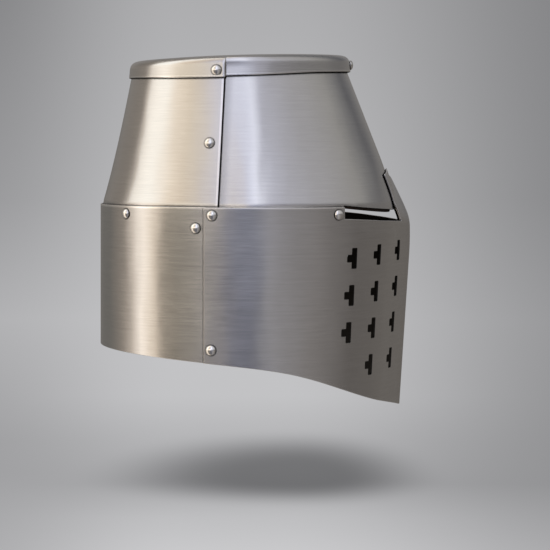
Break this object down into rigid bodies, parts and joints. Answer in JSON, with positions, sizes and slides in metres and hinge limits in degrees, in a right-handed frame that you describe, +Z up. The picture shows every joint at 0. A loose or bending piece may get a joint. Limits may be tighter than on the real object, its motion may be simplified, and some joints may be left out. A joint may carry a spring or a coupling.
{
  "type": "knight helmet",
  "caption": "Flat-topped great helm of lapped and riveted brushed steel plates, with eye slits, cross-cut breaths, a laced leather liner and a buckled chin strap.",
  "frame": {"origin": "below the middle of the helm's length and width, level with the lowest point of the face plate", "axes": "+Z up, the helm faces -Y, +X is the wearer's left"},
  "size_m": [0.2038, 0.2699, 0.3046],
  "materials": {
    "plate_steel": "satin, fine horizontal brushing",
    "rivet_steel": "satin, polished crowns",
    "liner_leather": "matt vegetable-tanned leather, dark brown",
    "strap_leather": "matt strap leather, dark brown",
    "lace_leather": "matt thong, nearly black",
    "buckle_brass": "satin, slightly worn"
  },
  "bodies": {
    "shell": {"top_cap": "plate_steel", "rear_skull_plate": "plate_steel", "front_skull_plate": "plate_steel", "rear_neck_plate": "plate_steel", "front_face_plate": "plate_steel", "rivet_cap_front": "rivet_steel", "rivet_brow": "rivet_steel", "rivet_cap_right": "rivet_steel", "rivet_skull_seam_right": "rivet_steel", "rivet_band_rear_right": "rivet_steel", "rivet_band_side_right": "rivet_steel", "rivet_band_front_right": "rivet_steel", "rivet_strap_right": "rivet_steel", "rivet_hem_right": "rivet_steel", "rivet_cap_left": "rivet_steel", "rivet_skull_seam_left": "rivet_steel", "rivet_band_rear_left": "rivet_steel", "rivet_band_side_left": "rivet_steel", "rivet_band_front_left": "rivet_steel", "rivet_strap_left": "rivet_steel", "rivet_hem_left": "rivet_steel", "leather_liner": "liner_leather", "liner_lace": "lace_leather"},
    "strap_right": {"chin_strap_right": "strap_leather", "strap_keeper_right": "strap_leather"},
    "strap_left": {"chin_strap_left": "strap_leather", "strap_keeper_left": "strap_leather"},
    "buckle": {"buckle_frame": "buckle_brass"},
    "prong": {"buckle_prong": "buckle_brass"}
  },
  "joints": [
    {"name": "strap_right_swing", "type": "hinge", "parent": "shell", "child": "strap_right", "pos_m": [-0.09344, 0.0481, 0.1581], "axis": [-0.9623, 0.2718, 0], "range_deg": [-12, 12]},
    {"name": "strap_left_swing", "type": "hinge", "parent": "shell", "child": "strap_left", "pos_m": [0.09344, 0.0481, 0.1581], "axis": [0.9623, 0.2718, 0], "range_deg": [-12, 12]},
    {"name": "buckle_swing", "type": "hinge", "parent": "strap_right", "child": "buckle", "pos_m": [-0.07984, 0.04426, 0.09708], "axis": [0.2718, 0.9623, 0], "range_deg": [-40, 25]},
    {"name": "prong_lift", "type": "hinge", "parent": "buckle", "child": "prong", "pos_m": [-0.07984, 0.04426, 0.09708], "axis": [0.2718, 0.9623, 0], "range_deg": [-80, 0]}
  ]
}
